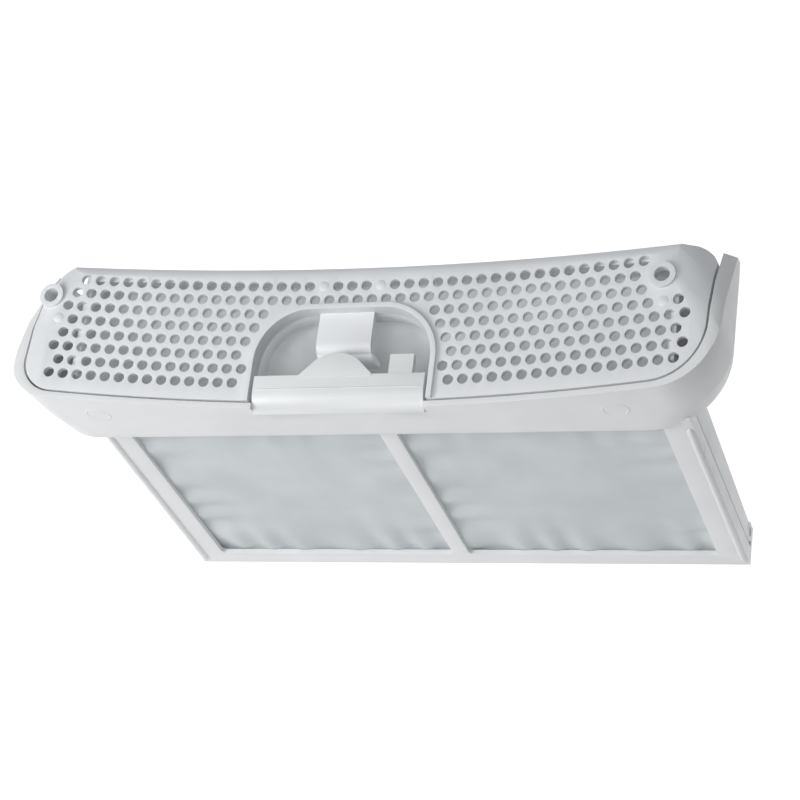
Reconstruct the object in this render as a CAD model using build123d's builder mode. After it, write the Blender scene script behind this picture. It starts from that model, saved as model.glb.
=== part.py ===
"""Two-part lint filter of a tumble dryer: a collared front half and a hinged rear half.

Millimetres. X runs along the filter, Y to the back, Z up. The origin lies in the plane of
the collar's underside, in the middle of the filter's length.
"""
import os

from build123d import *

# Perforated cover
COVER_HALF = 128.2
COVER_FRONT = 26.2
COVER_REAR = 27.0
COVER_TOP = 25.0
COVER_THICK = 2.0
COVER_LEFT_RADIUS = 11.0
COVER_RIGHT_RADIUS = 20.0
COVER_REAR_LEFT_RADIUS = 12.0
COVER_REAR_RIGHT_RADIUS = 6.0
SKIRT_DEPTH = 5.0
SKIRT_THICK = 1.8
# The cover's surface rises to both ends in flat facets, and its rear edge and corners roll down
DISH_SPAN = 110.0
DISH_RISE = 7.0
BOW = 3.0
REAR_BOW = 1.6
DISH_FACETS = 24
ROLL_BAND = 19.0
ROLL_LENGTH = 37.0
ROLL_STEP = 6.0
ROLL_SLOPES = (0.25, 0.75, 1.3)
REAR_ROLL = 2.6
REAR_ROLL_SLOPE = 0.6
SKIN_MARGIN = 14.0

# Perforations, staggered rows that follow the bow of the front edge
HOLE_PITCH = 5.5
HOLE_DIAMETER = 4.0
HOLE_ROWS = 8
HOLE_END_MARGIN = 6.9
HOLE_REAR_MARGIN = 4.2
# Row and column of the places that a moulded post closes
BLIND_PLACES = ((0, -2), (0, 2), (3, -21), (3, 21))

# Finger opening in the cover, with a raised lip, a flange below and a latch tongue
HANDLE_X = -6.0
OPENING_WIDTH = 68.0
OPENING_REAR = 9.6
OPENING_RADIUS = 20.0
LIP_WIDTH = 1.9
LIP_RISE = 1.9
FLANGE_DEPTH = 11.0
TONGUE_WIDTH = 21.0
TONGUE_SHIFT = -1.5
TONGUE_TOP = 22.6
TONGUE_THICK = 2.2
TONGUE_FRONT = 7.5
TONGUE_DROP = 12.0
TONGUE_BEND = 6.0

# Eyelets at both ends of the cover
EYELET_INSET = 10.8
EYELET_Y = 15.5
EYELET_OUTER = 9.6
EYELET_BORE = 5.6
EYELET_RISE = 1.6
EYELET_DEPTH = 9.0

# Collar of the front half
SEAM_GAP = 0.8
COLLAR_WALL = 2.2
COLLAR_SIDE_WALL = 4.2
COLLAR_DRAFT = 2.7
COLLAR_FRONT_DRAFT = 0.4
COLLAR_LOW_BOW = 0.3
COLLAR_FLOOR = 2.4
COLLAR_TAIL = 2.5
COLLAR_BEND = 12.0
COLLAR_ROUNDING = 5.0

# Grip bar of the front half with its thumb tab and small side tab
BAR_END_GAP = 1.3
BAR_DEPTH = 12.8
BAR_TOP = 26.4
BAR_LAND = 4.8
BAR_BULGE = 0.6
BAR_DROP = 4.4
BAR_THICK = 2.6
TAB_WIDTH = 28.0
TAB_TIP_WIDTH = 17.0
TAB_LENGTH = 8.4
TAB_CROWN = 3.0
TAB_THICK = 2.8
SIDE_TAB_WIDTH = 9.0
SIDE_TAB_LENGTH = 7.5
SIDE_TAB_X = 23.2
SIDE_TAB_THICK = 2.4

# Body below the collar
BODY_X = 3.0
BODY_INSET = 13.9
BODY_DEPTH = 108.0
BODY_WALL = 2.4
PANEL_TOP_Y = 26.0
PANEL_LEAN = 14.0
PANEL_LAND = 3.0
PANEL_THICK = 2.0
FRAME_DEPTH = 6.0
PARTING_GAP = 0.5
SIDE_BORDER = 11.0
RIB_WIDTH = 6.6
WINDOW_TOP = 2.6
WINDOW_BOTTOM = 7.6
WINDOW_RADIUS = 2.0
REAR_BOTTOM_Y = 27.0
KNEE_Y = 10.0
KNEE_DEPTH = 12.0
REAR_WALL = 2.2
REAR_SEAT_GAP = 0.2
FUNNEL_DROP = 8.0
REAR_WINDOW_TOP = 8.0
REAR_WINDOW_BOTTOM = 12.0

# Mesh cloth, welded to the inner faces of the panels
MESH_THICK = 0.4
MESH_LAP = 2.0

# Hinge along the lower rear edge
PIN_DIAMETER = 3.8
PIN_CLEARANCE = 0.06
PIN_END_GAP = 0.4
BEAD_RADIUS = 2.2
EAR_RADIUS = 3.8
EAR_WEB = 6.0
EAR_THICK = 2.4
EAR_GAP = 0.5
FLOOR_GAP = 0.4

# How far a piece is run into the one that it is joined to or cut from
INSIDE = 1.0

# Sizes that follow from the ones above
COLLAR_HALF = COVER_HALF + SEAM_GAP + COLLAR_SIDE_WALL
EYELET_REACH = COVER_HALF - EYELET_INSET
DISH_RADIUS = (DISH_SPAN**2 + DISH_RISE**2) / (2 * DISH_RISE)
COLLAR_LEFT_RADIUS = COVER_LEFT_RADIUS + SEAM_GAP + COLLAR_WALL
COLLAR_RIGHT_RADIUS = COVER_RIGHT_RADIUS + SEAM_GAP + COLLAR_WALL
COLLAR_FRONT = COVER_FRONT + SEAM_GAP + COLLAR_WALL
COLLAR_REAR = COVER_REAR + COLLAR_TAIL
CUT_HEIGHT = 2 * COVER_TOP + DISH_RISE
TRIM_TOP = COVER_TOP + 2 * DISH_RISE
BODY_HALF = COVER_HALF - BODY_INSET
BODY_INNER = BODY_HALF - BODY_WALL
BODY_PLANE = Plane.YZ.offset(BODY_X)
PASSAGE_TOP = COLLAR_FLOOR + INSIDE
FLOOR_TOP = -BODY_DEPTH + BODY_WALL
HINGE_Z = FLOOR_TOP + FLOOR_GAP + BEAD_RADIUS
FUNNEL_REAR = COVER_REAR - SKIRT_THICK - PARTING_GAP
FUNNEL_TOP = COVER_TOP - FUNNEL_DROP
WINDOW_WIDTH = BODY_HALF - SIDE_BORDER - RIB_WIDTH / 2
REAR_SILL = KNEE_DEPTH + REAR_WINDOW_TOP
BAR_LENGTH = OPENING_WIDTH - 2 * BAR_END_GAP
BAR_REAR = -COLLAR_FRONT + BAR_DEPTH
TONGUE_X = HANDLE_X + TONGUE_SHIFT
BLIND_ROW_Y = (HOLE_ROWS - 1) / 2 * HOLE_PITCH


def bow(x):
    """How far the front edge and the rows bow back, a parabola along the length."""
    return BOW * (x / DISH_SPAN) ** 2


def dish_height(x, depth=0.0):
    """Height along the length of the cover's surface, an arc, or of one set below it."""
    radius = DISH_RADIUS + depth
    return COVER_TOP + DISH_RADIUS - (radius**2 - x**2) ** 0.5


def roll_planes(side, depth):
    """The slopes at a rear corner, each one steeper than the last, from the fold line out."""
    rear_x = COVER_HALF - ROLL_BAND
    fold_front = Vector(side * COVER_HALF, COVER_REAR - ROLL_LENGTH, dish_height(COVER_HALF))
    fold_rear = Vector(side * rear_x, COVER_REAR, dish_height(rear_x))
    fold = (fold_rear - fold_front).normalized()
    outward = Vector(side * ROLL_LENGTH, ROLL_BAND, 0).normalized()
    rise = abs(outward.X) * COVER_HALF / DISH_RADIUS
    point = fold_front
    planes = []
    for slope in ROLL_SLOPES:
        downhill = outward + Vector(0, 0, rise - slope)
        normal = downhill.cross(fold).normalized() * side
        planes.append(Plane(origin=point - normal * depth, z_dir=normal))
        point = point + downhill * ROLL_STEP
    return planes


def skin_block(depth):
    """All that lies below the cover's surface, set down by a depth."""
    half = COLLAR_HALF + SKIN_MARGIN
    floor = -BODY_DEPTH - SKIN_MARGIN
    stations = [half * (2 * i / DISH_FACETS - 1) for i in range(DISH_FACETS + 1)]
    with BuildPart() as block:
        with BuildSketch(Plane.XZ.offset(REAR_ROLL - COVER_REAR)) as section:
            with BuildLine():
                arc = [(x, dish_height(x, depth)) for x in stations]
                Polyline(*arc, (half, floor), (-half, floor), close=True)
            make_face()
        extrude(amount=COVER_REAR + COLLAR_FRONT + SKIN_MARGIN)
        extrude(section.sketch, amount=COLLAR_TAIL + SKIN_MARGIN, dir=(0, 1, -REAR_ROLL_SLOPE))
        for side in (-1, 1):
            for plane in roll_planes(side, depth):
                split(bisect_by=plane, keep=Keep.BOTTOM)
    return block.part


def plan_outline(half, front, front_bow, rear, front_radii, rear_radii):
    """Plan of the cover or the collar: bowed edges, and corners rounded left and right."""
    front_left = Vector(-half, front_bow - front)
    front_right = Vector(half, front_bow - front)
    rear_left = Vector(-half, rear + REAR_BOW)
    rear_right = Vector(half, rear + REAR_BOW)
    with BuildSketch() as plan:
        with BuildLine():
            ThreePointArc(front_left, (0, -front), front_right)
            Line(front_right, rear_right)
            ThreePointArc(rear_right, (0, rear), rear_left)
            Line(rear_left, front_left)
        make_face()
        for corner, radius in zip((front_left, front_right), front_radii):
            fillet(plan.vertices().sort_by_distance(corner)[0], radius)
        for corner, radius in zip((rear_left, rear_right), rear_radii):
            fillet(plan.vertices().sort_by_distance(corner)[0], radius)
    return plan.sketch


def cover_plan(inset):
    """Plan of the cover, set in by a wall."""
    half = COVER_HALF - inset
    return plan_outline(
        half,
        COVER_FRONT - inset,
        bow(half),
        COVER_REAR - inset,
        (COVER_LEFT_RADIUS - inset, COVER_RIGHT_RADIUS - inset),
        (COVER_REAR_LEFT_RADIUS - inset, COVER_REAR_RIGHT_RADIUS - inset),
    )


def collar_plan(low, side_wall, wall, tail):
    """Plan of the collar, from its upright walls (low 0) to its rounded underside (low 1)."""
    half = COLLAR_HALF - low * COLLAR_DRAFT - side_wall
    rounding = low * COLLAR_ROUNDING - wall
    return plan_outline(
        half,
        COLLAR_FRONT - low * COLLAR_FRONT_DRAFT - wall,
        bow(half) + low * (COLLAR_LOW_BOW - bow(half)),
        COLLAR_REAR - REAR_BOW + tail,
        (COLLAR_LEFT_RADIUS + rounding, COLLAR_RIGHT_RADIUS + rounding),
        (),
    )


def arch(grow, front):
    """Plan of the finger opening, grown by a wall and run out to the front."""
    half = OPENING_WIDTH / 2 + grow
    rear = OPENING_REAR + grow
    with BuildSketch() as plan:
        with BuildLine():
            Polyline((-half, front), (half, front), (half, rear), (-half, rear), close=True)
        make_face()
        fillet(plan.vertices().group_by(Axis.Y)[-1], OPENING_RADIUS + grow)
    return plan.sketch.moved(Location((HANDLE_X, 0, 0)))


def hole_centres():
    """Centres of the perforations that clear the edge, the rolled corners, the opening and the eyelets."""
    limit = COVER_HALF - HOLE_END_MARGIN
    clear_opening = LIP_WIDTH + HOLE_DIAMETER / 2
    clear_eyelet = (EYELET_OUTER + HOLE_DIAMETER) / 2 + HOLE_PITCH / 5
    columns = int(2 * COVER_HALF / HOLE_PITCH)
    centres = []
    for row in range(HOLE_ROWS):
        stagger = (row + HOLE_ROWS) % 2 * HOLE_PITCH / 2
        for column in range(-columns, columns + 1):
            offset = column * HOLE_PITCH + stagger
            x = HANDLE_X + offset
            y = BLIND_ROW_Y - row * HOLE_PITCH + bow(x)
            blind = (row, column) in BLIND_PLACES
            at_edge = abs(x) > limit or y > COVER_REAR - HOLE_REAR_MARGIN
            fold_x = COVER_HALF - ROLL_BAND * (y - COVER_REAR + ROLL_LENGTH) / ROLL_LENGTH
            at_corner = abs(x) > fold_x
            arch_x = max(abs(offset) - OPENING_WIDTH / 2 + OPENING_RADIUS, 0.0)
            arch_y = max(y - OPENING_REAR + OPENING_RADIUS, 0.0)
            in_opening = Vector(arch_x, arch_y).length < OPENING_RADIUS + clear_opening
            at_eyelet = Vector(abs(offset) - EYELET_REACH, y - EYELET_Y).length < clear_eyelet
            if not (blind or at_edge or at_corner or in_opening or at_eyelet):
                centres.append((x, y))
    return centres


def panel_y(z):
    """Front face of the front panel at height z."""
    return -PANEL_TOP_Y + PANEL_LEAN * z / BODY_DEPTH


def rear_y(z):
    """Outer face of the rear panel below the knee at height z."""
    return -KNEE_Y + (REAR_BOTTOM_Y - KNEE_Y) * (z + KNEE_DEPTH) / (BODY_DEPTH - KNEE_DEPTH)


# The rear panel's outer face runs into the hinge bead
HINGE_Y = rear_y(HINGE_Z) - BEAD_RADIUS


def window_height(top, bottom):
    """Height of a panel's windows between its upper and lower borders."""
    return BODY_DEPTH - top - bottom


def window_centres(top, bottom):
    """Centres of a panel's two windows, one on each side of its rib."""
    x = (RIB_WIDTH + WINDOW_WIDTH) / 2
    z = (bottom - top - BODY_DEPTH) / 2
    return [(BODY_X - x, z), (BODY_X + x, z)]


# Hollow below the cover's plate, inside its skirt
with BuildPart() as cover_hollow:
    add(skin_block(COVER_THICK))
    extrude(cover_plan(SKIRT_THICK), amount=CUT_HEIGHT, both=True, mode=Mode.INTERSECT)

# Perforated cover with its skirt, lip, flange, tongue and eyelets
with BuildPart() as perforated_cover:
    add(skin_block(0))
    extrude(cover_plan(0), amount=CUT_HEIGHT, both=True, mode=Mode.INTERSECT)
    add(skin_block(SKIRT_DEPTH), mode=Mode.SUBTRACT)
    eyelet_top = dish_height(HANDLE_X + EYELET_REACH) + EYELET_RISE
    eyelets = [(HANDLE_X + side * EYELET_REACH, EYELET_Y, eyelet_top) for side in (-1, 1)]
    with Locations(*eyelets):
        Cylinder(EYELET_OUTER / 2, EYELET_DEPTH, align=(Align.CENTER, Align.CENTER, Align.MAX))
    add(cover_hollow.part, mode=Mode.SUBTRACT)
    with BuildSketch(Plane.XY.offset(COVER_TOP - FLANGE_DEPTH)):
        add(arch(LIP_WIDTH, -COVER_FRONT + bow(OPENING_WIDTH / 2)))
    extrude(amount=FLANGE_DEPTH + LIP_RISE)
    with BuildSketch(Plane.XY):
        add(arch(0, -COLLAR_FRONT - SKIN_MARGIN))
    extrude(amount=CUT_HEIGHT, mode=Mode.SUBTRACT)
    with BuildSketch(Plane.YZ.offset(TONGUE_X)):
        with BuildLine():
            Polyline(
                (OPENING_REAR + INSIDE, TONGUE_TOP),
                (-TONGUE_FRONT, TONGUE_TOP),
                (-TONGUE_FRONT, TONGUE_TOP - TONGUE_DROP),
                (-TONGUE_FRONT + TONGUE_THICK, TONGUE_TOP - TONGUE_DROP),
                (-TONGUE_FRONT + TONGUE_THICK, TONGUE_TOP - TONGUE_THICK),
                (OPENING_REAR + INSIDE, TONGUE_TOP - TONGUE_THICK),
                close=True,
            )
        tongue = make_face()
        bend = tongue.vertices().sort_by(Axis.X)
        fillet(bend[0:2].sort_by(Axis.Y)[-1], TONGUE_BEND)
        fillet(bend[2:4].sort_by(Axis.Y)[-1], TONGUE_BEND - TONGUE_THICK)
    extrude(amount=TONGUE_WIDTH / 2, both=True)
    with BuildSketch(Plane.XY):
        with Locations(*hole_centres()):
            Circle(HOLE_DIAMETER / 2)
        with Locations(*[eyelet[:2] for eyelet in eyelets]):
            Circle(EYELET_BORE / 2)
    extrude(amount=CUT_HEIGHT, mode=Mode.SUBTRACT)

# Space inside the collar, open to the rear
with BuildPart() as collar_cavity:
    with BuildSketch(Plane.XY.offset(COLLAR_FLOOR)):
        add(collar_plan(1 - COLLAR_FLOOR / COLLAR_BEND, COLLAR_SIDE_WALL, COLLAR_WALL, SKIN_MARGIN))
    with BuildSketch(Plane.XY.offset(COLLAR_BEND)):
        add(collar_plan(0, COLLAR_SIDE_WALL, COLLAR_WALL, SKIN_MARGIN))
    loft()
    with BuildSketch(Plane.XY.offset(COLLAR_BEND)):
        add(collar_plan(0, COLLAR_SIDE_WALL, COLLAR_WALL, SKIN_MARGIN))
    extrude(amount=CUT_HEIGHT)

# Front half: collar, grip bar, front panel frame, floor and hinge ears
with BuildPart() as front_frame:
    with BuildSketch(Plane.XY):
        add(collar_plan(1, 0, 0, 0))
    with BuildSketch(Plane.XY.offset(COLLAR_BEND)):
        add(collar_plan(0, 0, 0, 0))
    loft()
    with BuildSketch(Plane.XY.offset(COLLAR_BEND)):
        add(collar_plan(0, 0, 0, 0))
    extrude(amount=TRIM_TOP)
    add(collar_cavity.part, mode=Mode.SUBTRACT)
    add(skin_block(0), mode=Mode.INTERSECT)
    with BuildSketch(BODY_PLANE):
        with BuildLine():
            Polyline(
                (panel_y(0) + FRAME_DEPTH, -INSIDE),
                (COLLAR_REAR + INSIDE, -INSIDE),
                (COLLAR_REAR + INSIDE, COLLAR_BEND),
                (panel_y(0) + FRAME_DEPTH, COLLAR_BEND),
                close=True,
            )
        make_face()
    extrude(amount=BODY_HALF + PARTING_GAP, both=True, mode=Mode.SUBTRACT)
    with BuildSketch(BODY_PLANE):
        with BuildLine():
            Polyline(
                (panel_y(0), COLLAR_FLOOR),
                (panel_y(0), -PANEL_LAND),
                (panel_y(-BODY_DEPTH), -BODY_DEPTH),
                (HINGE_Y, -BODY_DEPTH),
                (HINGE_Y, FLOOR_TOP),
                (panel_y(FLOOR_TOP) + FRAME_DEPTH, FLOOR_TOP),
                (panel_y(0) + FRAME_DEPTH, 0),
                (panel_y(0) + FRAME_DEPTH, COLLAR_FLOOR),
                close=True,
            )
        make_face()
    extrude(amount=BODY_HALF, both=True)
    with BuildSketch(BODY_PLANE):
        with BuildLine():
            Polyline(
                (panel_y(PASSAGE_TOP) + PANEL_THICK, PASSAGE_TOP),
                (panel_y(FLOOR_TOP) + PANEL_THICK, FLOOR_TOP),
                (COLLAR_REAR, FLOOR_TOP),
                (COLLAR_REAR, PASSAGE_TOP),
                close=True,
            )
        make_face()
    extrude(amount=BODY_INNER, both=True, mode=Mode.SUBTRACT)
    with BuildSketch(Plane.XZ):
        with Locations(*window_centres(WINDOW_TOP, WINDOW_BOTTOM)):
            RectangleRounded(WINDOW_WIDTH, window_height(WINDOW_TOP, WINDOW_BOTTOM), WINDOW_RADIUS)
    extrude(amount=CUT_HEIGHT, mode=Mode.SUBTRACT)
    with BuildSketch(Plane.XY.offset(COVER_TOP - BAR_DROP)):
        with Locations((HANDLE_X, -COLLAR_FRONT)):
            Rectangle(BAR_LENGTH, 2 * (COLLAR_WALL + INSIDE))
    extrude(amount=CUT_HEIGHT, mode=Mode.SUBTRACT)
    with BuildSketch(Plane.YZ.offset(HANDLE_X)):
        with BuildLine():
            Polyline(
                (BAR_REAR, BAR_TOP - BAR_THICK),
                (BAR_REAR, BAR_TOP),
                (BAR_REAR - BAR_LAND, BAR_TOP),
            )
            ThreePointArc(
                (BAR_REAR - BAR_LAND, BAR_TOP),
                (-COLLAR_FRONT + BAR_LAND / 2, BAR_TOP - BAR_DROP / 3),
                (-COLLAR_FRONT - BAR_BULGE, BAR_TOP - BAR_DROP),
            )
            Polyline(
                (-COLLAR_FRONT - BAR_BULGE, BAR_TOP - BAR_DROP),
                (-COLLAR_FRONT + BAR_BULGE, BAR_TOP - BAR_DROP - BAR_THICK),
                (-COLLAR_FRONT + COLLAR_WALL, BAR_TOP - BAR_DROP - BAR_THICK),
                (-COLLAR_FRONT + COLLAR_WALL, BAR_TOP - BAR_DROP),
                (BAR_REAR, BAR_TOP - BAR_THICK),
            )
        make_face()
    extrude(amount=BAR_LENGTH / 2, both=True)
    with BuildSketch(Plane.XY.offset(BAR_TOP - BAR_THICK)):
        with BuildLine(Plane.XY.move(Location((TONGUE_X, BAR_REAR, 0)))):
            shoulder = TAB_LENGTH - TAB_CROWN
            Polyline(
                (-TAB_TIP_WIDTH / 2, shoulder),
                (-TAB_WIDTH / 2, 0),
                (-TAB_WIDTH / 2, -INSIDE),
                (TAB_WIDTH / 2, -INSIDE),
                (TAB_WIDTH / 2, 0),
                (TAB_TIP_WIDTH / 2, shoulder),
            )
            ThreePointArc((TAB_TIP_WIDTH / 2, shoulder), (0, TAB_LENGTH), (-TAB_TIP_WIDTH / 2, shoulder))
        make_face()
    extrude(amount=TAB_THICK)
    with Locations((HANDLE_X + SIDE_TAB_X, BAR_REAR - INSIDE, BAR_TOP - BAR_THICK)):
        Box(
            SIDE_TAB_WIDTH,
            SIDE_TAB_LENGTH + INSIDE,
            SIDE_TAB_THICK,
            align=(Align.CENTER, Align.MIN, Align.MIN),
        )
    for side in (-1, 1):
        with BuildSketch(BODY_PLANE.offset(side * BODY_HALF)):
            with Locations((HINGE_Y, HINGE_Z)):
                Circle(EAR_RADIUS)
            with Locations((HINGE_Y, -BODY_DEPTH)):
                Rectangle(EAR_WEB, HINGE_Z + BODY_DEPTH, align=(Align.CENTER, Align.MIN))
            with Locations((HINGE_Y, HINGE_Z)):
                Circle(PIN_DIAMETER / 2 + PIN_CLEARANCE, mode=Mode.SUBTRACT)
        extrude(amount=-side * EAR_THICK)

# Rear half: side walls, funnel wall, rear panel frame, hinge bead and pins
rear_outer = [(rear_y(HINGE_Z), HINGE_Z), (-KNEE_Y, -KNEE_DEPTH)]
rear_outer += [(FUNNEL_REAR, FUNNEL_TOP), (FUNNEL_REAR, TRIM_TOP)]
parting = [(panel_y(z) + FRAME_DEPTH + PARTING_GAP, z) for z in (TRIM_TOP, HINGE_Z)]
with BuildPart() as rear_frame:
    with BuildSketch(BODY_PLANE):
        with BuildLine():
            Polyline(*rear_outer, *parting, close=True)
        make_face()
    extrude(amount=BODY_HALF, both=True)
    with BuildSketch(BODY_PLANE):
        with BuildLine():
            inner = [(y - REAR_WALL, z) for y, z in rear_outer]
            Polyline(
                (inner[0][0], -BODY_DEPTH),
                *inner,
                (-COLLAR_FRONT - SKIN_MARGIN, TRIM_TOP),
                (panel_y(-BODY_DEPTH), -BODY_DEPTH),
                close=True,
            )
        make_face()
    extrude(amount=BODY_INNER, both=True, mode=Mode.SUBTRACT)
    add(skin_block(COVER_THICK + REAR_SEAT_GAP), mode=Mode.INTERSECT)
    with BuildSketch(Plane.XZ):
        with Locations(*window_centres(REAR_SILL, REAR_WINDOW_BOTTOM)):
            RectangleRounded(WINDOW_WIDTH, window_height(REAR_SILL, REAR_WINDOW_BOTTOM), WINDOW_RADIUS)
    extrude(amount=CUT_HEIGHT, mode=Mode.SUBTRACT)
    with Locations((BODY_X, HINGE_Y, HINGE_Z)):
        Cylinder(BEAD_RADIUS, 2 * BODY_INNER, rotation=(0, 90, 0))
    for side in (-1, 1):
        with BuildSketch(BODY_PLANE.offset(side * BODY_HALF)):
            with Locations((HINGE_Y, HINGE_Z)):
                Circle(EAR_RADIUS + EAR_GAP)
        extrude(amount=-side * (EAR_THICK + EAR_GAP), mode=Mode.SUBTRACT)
    with Locations((BODY_X, HINGE_Y, HINGE_Z)):
        Cylinder(PIN_DIAMETER / 2, 2 * (BODY_HALF - PIN_END_GAP), rotation=(0, 90, 0))


def mesh_strip(face_y, top, bottom):
    """Section of a mesh cloth that lies on a panel's inner face, lapped past the window."""
    upper = -top + MESH_LAP
    lower = -BODY_DEPTH + bottom - MESH_LAP
    return [
        (face_y(upper), upper),
        (face_y(upper) + MESH_THICK, upper),
        (face_y(lower) + MESH_THICK, lower),
        (face_y(lower), lower),
    ]


def front_mesh_face(z):
    """Inner face of the front panel."""
    return panel_y(z) + PANEL_THICK


def rear_mesh_face(z):
    """Face of the rear mesh that looks into the filter."""
    return rear_y(z) - REAR_WALL - MESH_THICK


# Mesh cloth of the four windows
front_strip = mesh_strip(front_mesh_face, WINDOW_TOP, WINDOW_BOTTOM)
rear_strip = mesh_strip(rear_mesh_face, REAR_SILL, REAR_WINDOW_BOTTOM)
mesh_start = RIB_WIDTH / 2 - MESH_LAP / 2
mesh_width = WINDOW_WIDTH + MESH_LAP
meshes = {}
for panel, strip in (("front", front_strip), ("rear", rear_strip)):
    for name, side in (("left", -1), ("right", 1)):
        with BuildPart() as mesh:
            with BuildSketch(BODY_PLANE.offset(side * mesh_start)):
                with BuildLine():
                    Polyline(*strip, close=True)
                make_face()
            extrude(amount=side * mesh_width)
        meshes[f"{panel}_mesh_{name}"] = mesh.part

pieces = {
    "perforated_cover": perforated_cover.part,
    "front_frame": front_frame.part,
    "rear_frame": rear_frame.part,
    **meshes,
}
os.makedirs("parts", exist_ok=True)
for name, piece in pieces.items():
    piece.label = name
    export_step(piece, f"parts/{name}.step")
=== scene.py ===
"""Looks of a tumble dryer filter: satin plastic, rippled mesh cloth, light and camera.

Metres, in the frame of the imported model: X along the filter, Y to the back, Z up.
"""

import bpy
import numpy as np
from mathutils import Matrix, Vector


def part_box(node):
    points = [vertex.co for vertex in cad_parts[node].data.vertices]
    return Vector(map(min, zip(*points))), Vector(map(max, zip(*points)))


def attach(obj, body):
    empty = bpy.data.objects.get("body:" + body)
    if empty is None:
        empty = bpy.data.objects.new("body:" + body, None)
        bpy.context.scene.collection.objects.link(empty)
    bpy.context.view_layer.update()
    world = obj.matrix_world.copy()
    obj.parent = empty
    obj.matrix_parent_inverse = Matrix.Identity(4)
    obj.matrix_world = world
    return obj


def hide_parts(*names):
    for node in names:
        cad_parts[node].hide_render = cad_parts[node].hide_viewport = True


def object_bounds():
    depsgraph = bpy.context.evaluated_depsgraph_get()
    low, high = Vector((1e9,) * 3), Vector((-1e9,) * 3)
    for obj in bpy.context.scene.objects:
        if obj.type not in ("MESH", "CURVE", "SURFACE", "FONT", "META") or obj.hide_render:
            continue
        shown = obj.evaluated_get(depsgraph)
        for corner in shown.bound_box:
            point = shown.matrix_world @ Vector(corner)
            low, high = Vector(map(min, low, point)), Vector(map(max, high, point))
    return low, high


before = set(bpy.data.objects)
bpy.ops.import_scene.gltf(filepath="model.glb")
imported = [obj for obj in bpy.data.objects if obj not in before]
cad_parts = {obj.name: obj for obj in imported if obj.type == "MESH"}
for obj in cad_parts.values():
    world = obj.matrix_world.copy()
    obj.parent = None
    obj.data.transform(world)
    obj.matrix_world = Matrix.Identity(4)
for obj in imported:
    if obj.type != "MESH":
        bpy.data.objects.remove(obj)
cad_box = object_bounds()

MM = 0.001

# Rounded edges of the mouldings
WELD_REACH = 0.002 * MM
EDGE_ANGLE = np.radians(32)
FRAME_ROUNDING = 0.6 * MM
REAR_ROUNDING = 0.4 * MM
COVER_ROUNDING = 0.25 * MM
ROUNDING_STEPS = 3

# Mesh panes
CLOTH_THICK = 0.25 * MM
SEAT_THICK = 0.4 * MM
PANE_COLUMNS = 140
PANE_ROWS = 120
RIPPLE_DEPTH = 0.8 * MM
RIPPLE_REACH = 6.0 * MM
RIPPLE_PITCH = 17.0 * MM
RIPPLE_DRIFT = 61.0 * MM
RIPPLE_SWAY = 1.4
# Where the waves begin along the left, lower, right and upper edges, and how strong they are
RIPPLE_PHASES = (0.4, 1.9, 2.6, 4.1)
RIPPLE_SHARES = (1.0, 1.0, 0.5, 0.4)

# The cover's surface and rows, as the model has them
DISH_TOP = 25.0 * MM
DISH_RADIUS = 867.8 * MM
ROW_BOW = 3.0 * MM
BOW_SPAN = 110.0 * MM

# Heads of the moulded posts that close four places in the rows: x and y on the straight row
POSTS = ((-17.0, 19.25), (5.0, 19.25), (-118.75, 2.75), (112.25, 2.75))
POST_RADIUS = 2.1 * MM
POST_RISE = 0.55 * MM

# Beads along the sides of the front panel: x, and y and z at the top and the foot
BEAD_X = (-109.6, 115.6)
BEAD_TOP = (-26.2, -4.5)
BEAD_FOOT = (-39.75, -106.2)
BEAD_RADIUS = 1.5 * MM

# Line along the grip bar: its two ends, y and z
LINE_X = (-38.2, 26.2)
LINE_SEAT = (-21.6, 26.38)
LINE_RADIUS = 0.32 * MM

# Ring marks on the collar's front: x and z
MARKS = ((-104.0, 17.0), (94.0, 15.0))
MARK_RADIUS = 4.6 * MM
MARK_WIDTH = 0.9 * MM
MARK_RISE = 0.16 * MM
COLLAR_FRONT = -29.2 * MM

ROUND_STEPS = 40
DOME_STEPS = 12
BEAD_STEPS = 60
RING_STEPS = 9
# How far a detail is sunk in its seat, as a share of its rise or radius
DOME_SINK = 0.05
BEAD_SINK = 0.3
RING_SINK = 0.2
# A high power keeps a bead's full radius to near its ends
BEAD_END_POWER = 60

# Plastic: bumps to the metre of its flow marks, its gloss and its grain
FLOW_SCALE = 28.0
GLOSS_SCALE = 140.0
GRAIN_SCALE = 2600.0
GLOSS_ROUGHNESS = (0.34, 0.46)
GRAIN_DEPTH = 0.05 * MM
PLASTIC_IOR = 1.49

# Mesh cloth: its threads, mottle and see-through share
THREAD_PITCH = 0.55 * MM
THREAD_TONE = 0.3
THREAD_STRENGTH = 0.35
THREAD_DEPTH = 0.08 * MM
MOTTLE_SCALE = 45.0
MOTTLE_TONE = 0.6
CLOTH_DARK = (0.66, 0.70, 0.72)
CLOTH_LIGHT = (0.82, 0.85, 0.87)
CLOTH_ROUGHNESS = 0.6
CLOTH_ALPHA = 0.72

# The part of a noise's range that is used
NOISE_RANGE = (0.3, 0.7)

# Camera: where it looks, from how far, its azimuth, height and roll in degrees, its lens
CAMERA_TARGET = (0.0181, -0.0262, 0.025)
CAMERA_DISTANCE = 0.8813
CAMERA_AZIMUTH = 42.48
CAMERA_HEIGHT = 59.62
CAMERA_ROLL = -39.33
CAMERA_LENS = 112.5

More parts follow.
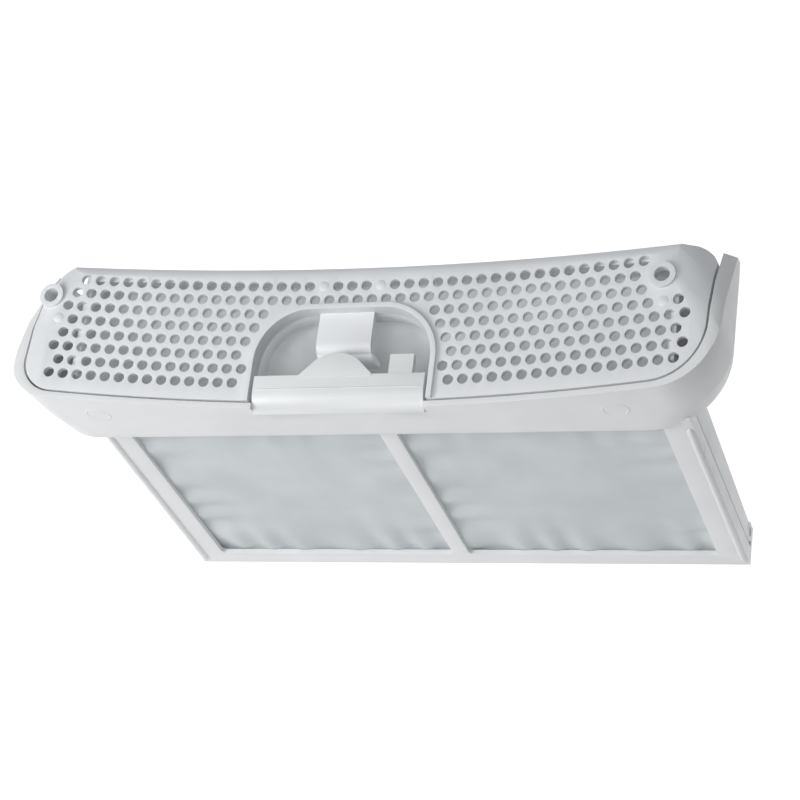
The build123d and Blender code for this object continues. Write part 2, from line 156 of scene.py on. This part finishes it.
# Light and floor, which lies below the rear half when that is swung open
FLOOR_GAP = 56.0 * MM
FLOOR_HALF = 4.0
FLOOR_SCALE = 3.0
FLOOR_DARK = (0.20, 0.20, 0.20)
FLOOR_LIGHT = (0.24, 0.24, 0.24)
FLOOR_ROUGHNESS = 0.9
GLOW_TINT = (1.0, 1.0, 1.0, 1.0)
GLOW_CENTRE = (-0.24, 0.24)
GLOW_REACH = (0.55, 0.75)
GLOW_POWER = (1.0, 0.25)
KEY_PLACE = (-0.41, -0.27, 0.44)
KEY_SIZE = 0.35
KEY_POWER = 2.7
FILL_PLACE = (0.06, -0.32, 0.98)
FILL_SIZE = 0.5
FILL_POWER = 3.2
INSIDE_PLACE = (0.0, 0.002, 0.0205)
INSIDE_AIM = (0.0, 0.002, 0.0)
INSIDE_SIZE = (0.21, 0.036)
INSIDE_POWER = 0.009
SKY_TINT = (0.93, 0.97, 1.0, 1.0)
SKY_POWER = 0.29


def new_finish(name):
    """An empty material with its shader, its node tree and its object coordinates."""
    finish = bpy.data.materials.new(name)
    finish.use_nodes = True
    tree = finish.node_tree
    shader = tree.nodes["Principled BSDF"]
    place = tree.nodes.new("ShaderNodeTexCoord").outputs["Object"]
    return finish, tree, shader, place


def noise(tree, place, scale, detail=3.0):
    """Noise over the object coordinates, with so many bumps to the metre."""
    node = tree.nodes.new("ShaderNodeTexNoise")
    node.inputs["Scale"].default_value = scale
    node.inputs["Detail"].default_value = detail
    tree.links.new(place, node.inputs["Vector"])
    return node.outputs["Fac"]


def spread(tree, value, low, high):
    """The middle of a noise's range stretched between two values."""
    node = tree.nodes.new("ShaderNodeMapRange")
    node.inputs["From Min"].default_value, node.inputs["From Max"].default_value = NOISE_RANGE
    node.inputs["To Min"].default_value = low
    node.inputs["To Max"].default_value = high
    tree.links.new(value, node.inputs["Value"])
    return node.outputs["Result"]


def tint(tree, value, dark, light):
    """A colour between a dark and a light tone."""
    node = tree.nodes.new("ShaderNodeValToRGB")
    node.color_ramp.elements[0].color = (*dark, 1.0)
    node.color_ramp.elements[1].color = (*light, 1.0)
    tree.links.new(value, node.inputs["Fac"])
    return node.outputs["Color"]


def bump(tree, value, strength, depth):
    """Normals of a fine relief of a given depth."""
    node = tree.nodes.new("ShaderNodeBump")
    node.inputs["Strength"].default_value = strength
    node.inputs["Distance"].default_value = depth
    tree.links.new(value, node.inputs["Height"])
    return node.outputs["Normal"]


def satin_plastic(name, dark, light, grain):
    """Moulded white plastic: soft flow marks in the tone, an uneven gloss and a fine grain."""
    finish, tree, shader, place = new_finish(name)
    flow = spread(tree, noise(tree, place, FLOW_SCALE), 0.0, 1.0)
    tree.links.new(tint(tree, flow, dark, light), shader.inputs["Base Color"])
    gloss = spread(tree, noise(tree, place, GLOSS_SCALE), *GLOSS_ROUGHNESS)
    tree.links.new(gloss, shader.inputs["Roughness"])
    relief = bump(tree, noise(tree, place, GRAIN_SCALE), grain, GRAIN_DEPTH)
    tree.links.new(relief, shader.inputs["Normal"])
    shader.inputs["IOR"].default_value = PLASTIC_IOR
    return finish


def weave(tree, place, axis, pitch):
    """Threads that run across one axis: a sine of the place along it, from 0 to 1."""
    split = tree.nodes.new("ShaderNodeSeparateXYZ")
    tree.links.new(place, split.inputs["Vector"])
    wave = tree.nodes.new("ShaderNodeMath")
    wave.operation = "MULTIPLY"
    wave.inputs[1].default_value = 2 * np.pi / pitch
    tree.links.new(split.outputs[axis], wave.inputs[0])
    sine = tree.nodes.new("ShaderNodeMath")
    sine.operation = "SINE"
    tree.links.new(wave.outputs["Value"], sine.inputs[0])
    return sine.outputs["Value"]


def mesh_cloth(name):
    """Fine woven mesh: two sets of threads over a mottled grey, a little see-through."""
    finish, tree, shader, place = new_finish(name)
    threads = tree.nodes.new("ShaderNodeMath")
    threads.operation = "MAXIMUM"
    tree.links.new(weave(tree, place, "X", THREAD_PITCH), threads.inputs[0])
    tree.links.new(weave(tree, place, "Z", THREAD_PITCH), threads.inputs[1])
    mottle = spread(tree, noise(tree, place, MOTTLE_SCALE), 0.0, MOTTLE_TONE)
    tone = tree.nodes.new("ShaderNodeMath")
    tone.operation = "MULTIPLY_ADD"
    tone.inputs[1].default_value = THREAD_TONE
    tree.links.new(threads.outputs["Value"], tone.inputs[0])
    tree.links.new(mottle, tone.inputs[2])
    colour = tint(tree, tone.outputs["Value"], CLOTH_DARK, CLOTH_LIGHT)
    tree.links.new(colour, shader.inputs["Base Color"])
    relief = bump(tree, threads.outputs["Value"], THREAD_STRENGTH, THREAD_DEPTH)
    tree.links.new(relief, shader.inputs["Normal"])
    shader.inputs["Roughness"].default_value = CLOTH_ROUGHNESS
    shader.inputs["Alpha"].default_value = CLOTH_ALPHA
    return finish


def paint(piece, finish):
    """Gives a piece one finish."""
    piece.data.materials.clear()
    piece.data.materials.append(finish)


def round_edges(piece, width):
    """Joins a moulding's faces, rounds its edges and keeps the rounded faces smooth."""
    weld = piece.modifiers.new("weld", "WELD")
    weld.merge_threshold = WELD_REACH
    bevel = piece.modifiers.new("rounding", "BEVEL")
    bevel.limit_method = "ANGLE"
    bevel.angle_limit = EDGE_ANGLE
    bevel.width = width
    bevel.segments = ROUNDING_STEPS
    split = piece.modifiers.new("creases", "EDGE_SPLIT")
    split.split_angle = EDGE_ANGLE
    piece.data.polygons.foreach_set("use_smooth", np.ones(len(piece.data.polygons), bool))


def surface(name, points, finish):
    """A mesh of quads over a grid of points, rows by columns."""
    rows, columns = points.shape[:2]
    corner = np.arange(rows * columns).reshape(rows, columns)
    quads = np.stack((corner[:-1, :-1], corner[:-1, 1:], corner[1:, 1:], corner[1:, :-1]), axis=-1)
    mesh = bpy.data.meshes.new(name)
    mesh.from_pydata(points.reshape(-1, 3).tolist(), [], quads.reshape(-1, 4).tolist())
    mesh.polygons.foreach_set("use_smooth", np.ones(len(mesh.polygons), bool))
    piece = bpy.data.objects.new(name, mesh)
    bpy.context.collection.objects.link(piece)
    paint(piece, finish)
    return piece


def ripple(distance, along, phase):
    """A wave along an edge: it is nothing at the edge, deepest a little way in, then fades."""
    fade = distance / RIPPLE_REACH * np.exp(1 - distance / RIPPLE_REACH)
    drift = RIPPLE_SWAY * np.sin(2 * np.pi * along / RIPPLE_DRIFT + phase)
    return RIPPLE_DEPTH * fade * np.sin(2 * np.pi * along / RIPPLE_PITCH + phase + drift)


def mesh_pane(node, body, finish):
    """Cloth in a window: a slanted flat grid over the node's box, with ripples along its edges."""
    low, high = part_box(node)
    across = np.linspace(low.x, high.x, PANE_COLUMNS)
    x, z = np.meshgrid(across, np.linspace(low.z, high.z, PANE_ROWS))
    slant = (z - low.z) / (high.z - low.z)
    y = low.y + SEAT_THICK / 2 + (high.y - low.y - SEAT_THICK) * slant
    edges = ((x - low.x, z), (z - low.z, x), (high.x - x, z), (high.z - z, x))
    waves = sum(
        share * ripple(distance, along, phase)
        for (distance, along), phase, share in zip(edges, RIPPLE_PHASES, RIPPLE_SHARES)
    )
    pane = surface(f"{node}_cloth", np.stack((x, y + waves, z), axis=-1), finish)
    wall = pane.modifiers.new("cloth", "SOLIDIFY")
    wall.thickness = CLOTH_THICK
    wall.offset = 0.0
    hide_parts(node)
    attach(pane, body)


def seat(piece, body):
    """Fixes a moulded detail to its half of the filter."""
    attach(piece, body)


def row_bow(x):
    """How far a row or the front edge bows back, a parabola along the length."""
    return ROW_BOW * (x / BOW_SPAN) ** 2


def dish_height(x):
    """Height of the cover's surface, an arc along the length."""
    return DISH_TOP + DISH_RADIUS - np.sqrt(DISH_RADIUS**2 - x**2)


def post_head(name, x, row_y, finish):
    """A low dome on the cover: the height falls from the middle with the square of the radius."""
    circle = np.linspace(0, 2 * np.pi, ROUND_STEPS)
    reach, turn = np.meshgrid(np.linspace(1, 0, DOME_STEPS), circle, indexing="ij")
    px = x + POST_RADIUS * reach * np.cos(turn)
    py = row_y + row_bow(x) + POST_RADIUS * reach * np.sin(turn)
    pz = dish_height(px) + POST_RISE * (1 - reach**2) - DOME_SINK * POST_RISE
    piece = surface(name, np.stack((px, py, pz), axis=-1), finish)
    seat(piece, "rear_half")


def bead(name, start, end, side, out, radius, finish):
    """A half-round bead: a semicircle from side to out, drawn from start to end, its ends drawn in."""
    half_circle = np.linspace(0, np.pi, ROUND_STEPS // 2)
    along, turn = np.meshgrid(np.linspace(0, 1, BEAD_STEPS), half_circle, indexing="ij")
    taper = radius * np.sqrt(np.clip(1 - np.abs(2 * along - 1) ** BEAD_END_POWER, 0, 1))
    line = np.array(start) * MM + (np.array(end) - np.array(start)) * MM * along[..., None]
    across = np.array(side) * np.cos(turn)[..., None]
    across = across + np.array(out) * (np.sin(turn)[..., None] - BEAD_SINK)
    piece = surface(name, line + across * taper[..., None], finish)
    seat(piece, "front_half")


def ring_mark(name, x, z, finish):
    """A faint ring on the collar's front: the relief across its width is a parabola."""
    circle = np.linspace(0, 2 * np.pi, ROUND_STEPS)
    across, turn = np.meshgrid(np.linspace(-1, 1, RING_STEPS), circle, indexing="ij")
    reach = MARK_RADIUS + MARK_WIDTH / 2 * across
    px = x + reach * np.cos(turn)
    py = COLLAR_FRONT + row_bow(px) - MARK_RISE * (1 - across**2) + RING_SINK * MARK_RISE
    pz = z + reach * np.sin(turn)
    piece = surface(name, np.stack((px, py, pz), axis=-1), finish)
    seat(piece, "front_half")


def lay_floor():
    """A floor below the part that glows white where the camera looks, and fades further out."""
    lowest = cad_box[0][2] - FLOOR_GAP
    x, y = np.meshgrid((-FLOOR_HALF, FLOOR_HALF), (-FLOOR_HALF, FLOOR_HALF))
    finish, tree, shader, place = new_finish("pale_floor")
    tone = spread(tree, noise(tree, place, FLOOR_SCALE), 0.0, 1.0)
    colour = tint(tree, tone, FLOOR_DARK, FLOOR_LIGHT)
    tree.links.new(colour, shader.inputs["Base Color"])
    shader.inputs["Roughness"].default_value = FLOOR_ROUGHNESS
    shader.inputs["Emission Color"].default_value = GLOW_TINT
    away = tree.nodes.new("ShaderNodeVectorMath")
    away.operation = "DISTANCE"
    away.inputs[1].default_value = (*GLOW_CENTRE, lowest)
    tree.links.new(place, away.inputs[0])
    glow = tree.nodes.new("ShaderNodeMapRange")
    glow.inputs["From Min"].default_value, glow.inputs["From Max"].default_value = GLOW_REACH
    glow.inputs["To Min"].default_value, glow.inputs["To Max"].default_value = GLOW_POWER
    tree.links.new(away.outputs["Value"], glow.inputs["Value"])
    tree.links.new(glow.outputs["Result"], shader.inputs["Emission Strength"])
    floor = surface("floor", np.stack((x, y, np.full_like(x, lowest)), axis=-1), finish)


def add_light(name, place, aim, width, height, power):
    """A soft light of a given width and height that shines at a point and isn't seen itself."""
    light = bpy.data.lights.new(name, "AREA")
    light.shape = "RECTANGLE"
    light.size = width
    light.size_y = height
    light.energy = power
    lamp = bpy.data.objects.new(name, light)
    lamp.location = place
    lamp.rotation_euler = (Vector(aim) - Vector(place)).to_track_quat("-Z", "Y").to_euler()
    lamp.visible_camera = False
    bpy.context.collection.objects.link(lamp)


def light_scene():
    """A key light from the left, a fill from the front, light let into the filter and a pale sky."""
    middle = (0.0, 0.0, 0.0)
    add_light("key", KEY_PLACE, middle, KEY_SIZE, KEY_SIZE, KEY_POWER)
    add_light("fill", FILL_PLACE, middle, FILL_SIZE, FILL_SIZE, FILL_POWER)
    add_light("inside", INSIDE_PLACE, INSIDE_AIM, *INSIDE_SIZE, INSIDE_POWER)
    world = bpy.data.worlds.new("pale_sky")
    world.use_nodes = True
    sky = world.node_tree.nodes["Background"]
    sky.inputs["Color"].default_value = SKY_TINT
    sky.inputs["Strength"].default_value = SKY_POWER
    bpy.context.scene.world = world
    bpy.context.scene.view_settings.view_transform = "Standard"


def aim_camera():
    """The photograph's view: from the front right and well above, rolled to lie level."""
    azimuth, height, roll = np.radians((CAMERA_AZIMUTH, CAMERA_HEIGHT, CAMERA_ROLL))
    back = Vector((np.cos(height) * np.sin(azimuth), -np.cos(height) * np.cos(azimuth), np.sin(height)))
    camera = bpy.data.objects.new("camera", bpy.data.cameras.new("camera"))
    camera.data.lens = CAMERA_LENS
    camera.location = Vector(CAMERA_TARGET) + back * CAMERA_DISTANCE
    turn = (-back).to_track_quat("-Z", "Y").to_matrix() @ Matrix.Rotation(roll, 3, "Z")
    camera.rotation_euler = turn.to_euler()
    bpy.context.collection.objects.link(camera)
    bpy.context.scene.camera = camera


cover_plastic = satin_plastic("cover_plastic", (0.70, 0.71, 0.725), (0.75, 0.76, 0.775), 0.10)
frame_plastic = satin_plastic("frame_plastic", (0.70, 0.71, 0.715), (0.75, 0.76, 0.765), 0.08)
rear_plastic = satin_plastic("rear_plastic", (0.70, 0.72, 0.73), (0.75, 0.77, 0.78), 0.08)
cloth = mesh_cloth("mesh_cloth")

for node, finish, rounding in (
    ("perforated_cover", cover_plastic, COVER_ROUNDING),
    ("front_frame", frame_plastic, FRAME_ROUNDING),
    ("rear_frame", rear_plastic, REAR_ROUNDING),
):
    paint(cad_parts[node], finish)
    round_edges(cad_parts[node], rounding)

for panel, body in (("front", "front_half"), ("rear", "rear_half")):
    for side in ("left", "right"):
        mesh_pane(f"{panel}_mesh_{side}", body, cloth)

for number, (x, y) in enumerate(POSTS):
    post_head(f"post_head_{number}", x * MM, y * MM, cover_plastic)
for side, x in zip(("left", "right"), BEAD_X):
    top, foot = (x, *BEAD_TOP), (x, *BEAD_FOOT)
    bead(f"side_bead_{side}", top, foot, (1, 0, 0), (0, -1, 0), BEAD_RADIUS, frame_plastic)
bar_ends = [(x, *LINE_SEAT) for x in LINE_X]
bead("grip_bar_line", *bar_ends, (0, -1, 0), (0, 0, 1), LINE_RADIUS, frame_plastic)
for side, (x, z) in zip(("left", "right"), MARKS):
    ring_mark(f"ring_mark_{side}", x * MM, z * MM, frame_plastic)

lay_floor()
light_scene()
aim_camera()
